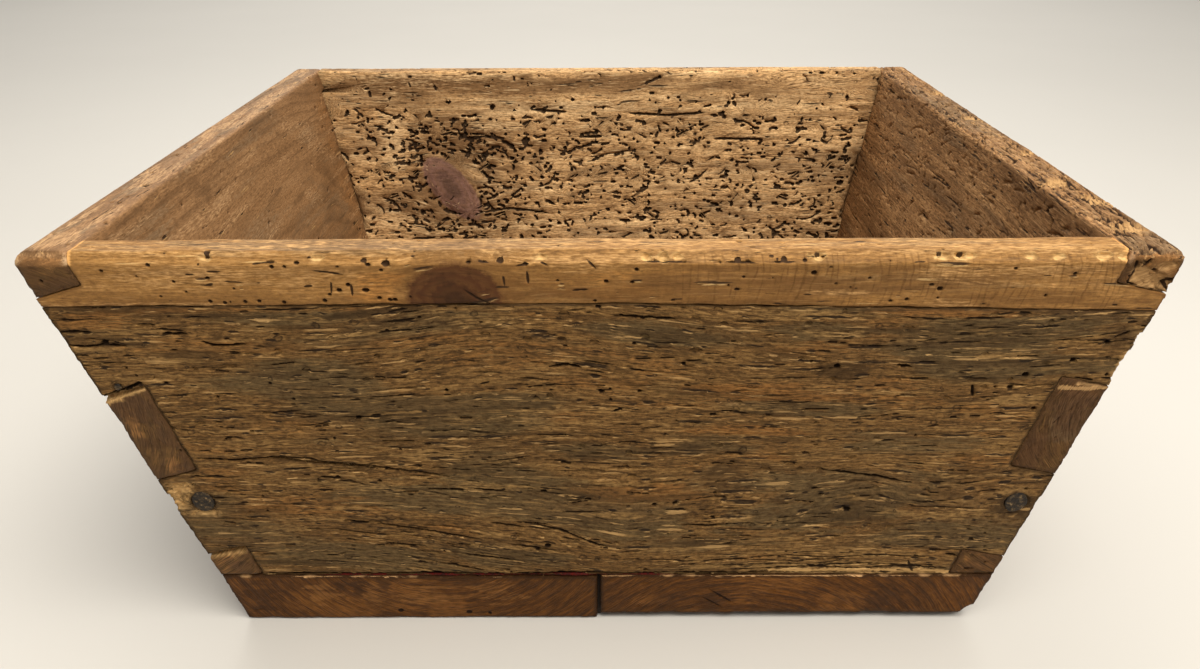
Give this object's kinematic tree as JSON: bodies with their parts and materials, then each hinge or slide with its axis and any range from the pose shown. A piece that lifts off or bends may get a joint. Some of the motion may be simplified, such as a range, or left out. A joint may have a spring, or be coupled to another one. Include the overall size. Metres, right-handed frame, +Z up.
{
  "type": "dough box",
  "caption": "Open splayed wooden dough box with finger-jointed corners, a newer rail along the front rim and a thick floor of boards under the walls.",
  "frame": {"origin": "on the resting plane, under the middle of the rim", "axes": "+X to the right along the front, +Y from the front to the back, +Z up"},
  "size_m": [0.5576, 0.4486, 0.262],
  "materials": {
    "weathered_pine": "bare, weathered and worm-eaten",
    "rail_pine": "bare, worn smooth at the edge",
    "wormy_pine": "bare, eaten by worm on the surface",
    "left_end_pine": "bare, planed by hand, dull",
    "right_end_pine": "bare, rough and worm-eaten",
    "floor_pine": "bare, worn",
    "dowel_wood": "bare",
    "forged_iron": "dark, lightly rusted"
  },
  "bodies": {
    "root": {"front_board": "weathered_pine", "front_rail": "rail_pine", "back_board": "wormy_pine", "left_end_board": "left_end_pine", "right_end_board": "right_end_pine", "floor_board_left": "floor_pine", "floor_board_right": "floor_pine", "rail_dowels": "dowel_wood", "corner_nails": "forged_iron", "small_nail": "forged_iron", "floor_nails": "forged_iron"}
  },
  "joints": []
}
